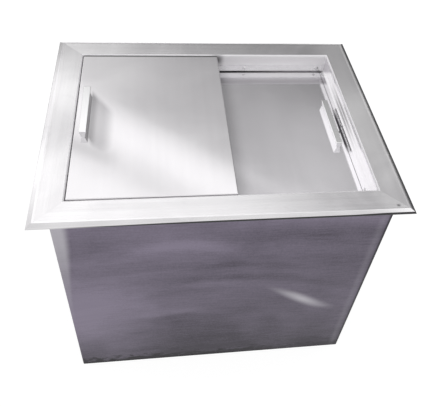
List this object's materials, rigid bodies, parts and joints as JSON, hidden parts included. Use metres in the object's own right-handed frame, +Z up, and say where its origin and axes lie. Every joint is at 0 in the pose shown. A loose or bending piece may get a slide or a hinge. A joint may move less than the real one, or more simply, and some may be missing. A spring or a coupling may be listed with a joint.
{
  "type": "ice bin",
  "caption": "Drop-in insulated steel ice bin: bevelled counter flange round a stepped well, sliding lids with bar handles that pass over each other, and a drained liner.",
  "frame": {"origin": "on the floor under the middle of the bin, at the centre of its bounding box", "axes": "+Z up, +X to the right as seen from the front, front face towards -Y"},
  "size_m": [0.6, 0.48, 0.483],
  "materials": {
    "rim_steel": "satin brushed along each rail",
    "runner_steel": "satin",
    "lid_steel": "satin brushed front to back",
    "handle_steel": "fine satin",
    "jacket_steel": "dull brushed, darker than the rim",
    "liner_steel": "satin",
    "drain_steel": "satin",
    "fastener_steel": "satin",
    "glide_plastic": "matte",
    "foam": "matte, sealed inside",
    "seal_rubber": "matte"
  },
  "bodies": {
    "bin": {"drain_body": "drain_steel", "drain_gasket": "seal_rubber", "drain_locknut": "drain_steel", "drain_screw": "fastener_steel", "drain_strainer": "drain_steel", "drain_washer": "drain_steel", "insulation_back": "foam", "insulation_base": "foam", "insulation_front": "foam", "insulation_left": "foam", "insulation_right": "foam", "jacket_back": "jacket_steel", "jacket_base": "jacket_steel", "jacket_rivets": "fastener_steel", "jacket_wrap": "jacket_steel", "liner": "liner_steel", "rim_back": "rim_steel", "rim_front": "rim_steel", "rim_left": "rim_steel", "rim_right": "rim_steel", "runner_bar_back": "runner_steel", "runner_bar_front": "runner_steel", "runner_bar_left": "runner_steel", "runner_bar_right": "runner_steel", "runner_screws": "fastener_steel"},
    "upper_lid": {"upper_handle": "handle_steel", "upper_handle_screws": "fastener_steel", "upper_lid_glides": "glide_plastic", "upper_lid_panel": "lid_steel"},
    "lower_lid": {"lower_handle": "handle_steel", "lower_handle_screws": "fastener_steel", "lower_lid_glides": "glide_plastic", "lower_lid_panel": "lid_steel"}
  },
  "joints": [
    {"name": "upper_lid_slide", "type": "slide", "parent": "bin", "child": "upper_lid", "axis": [1, 0, 0], "range_m": [0, 0.231]},
    {"name": "lower_lid_slide", "type": "slide", "parent": "bin", "child": "lower_lid", "axis": [1, 0, 0], "range_m": [-0.231, 0]}
  ]
}
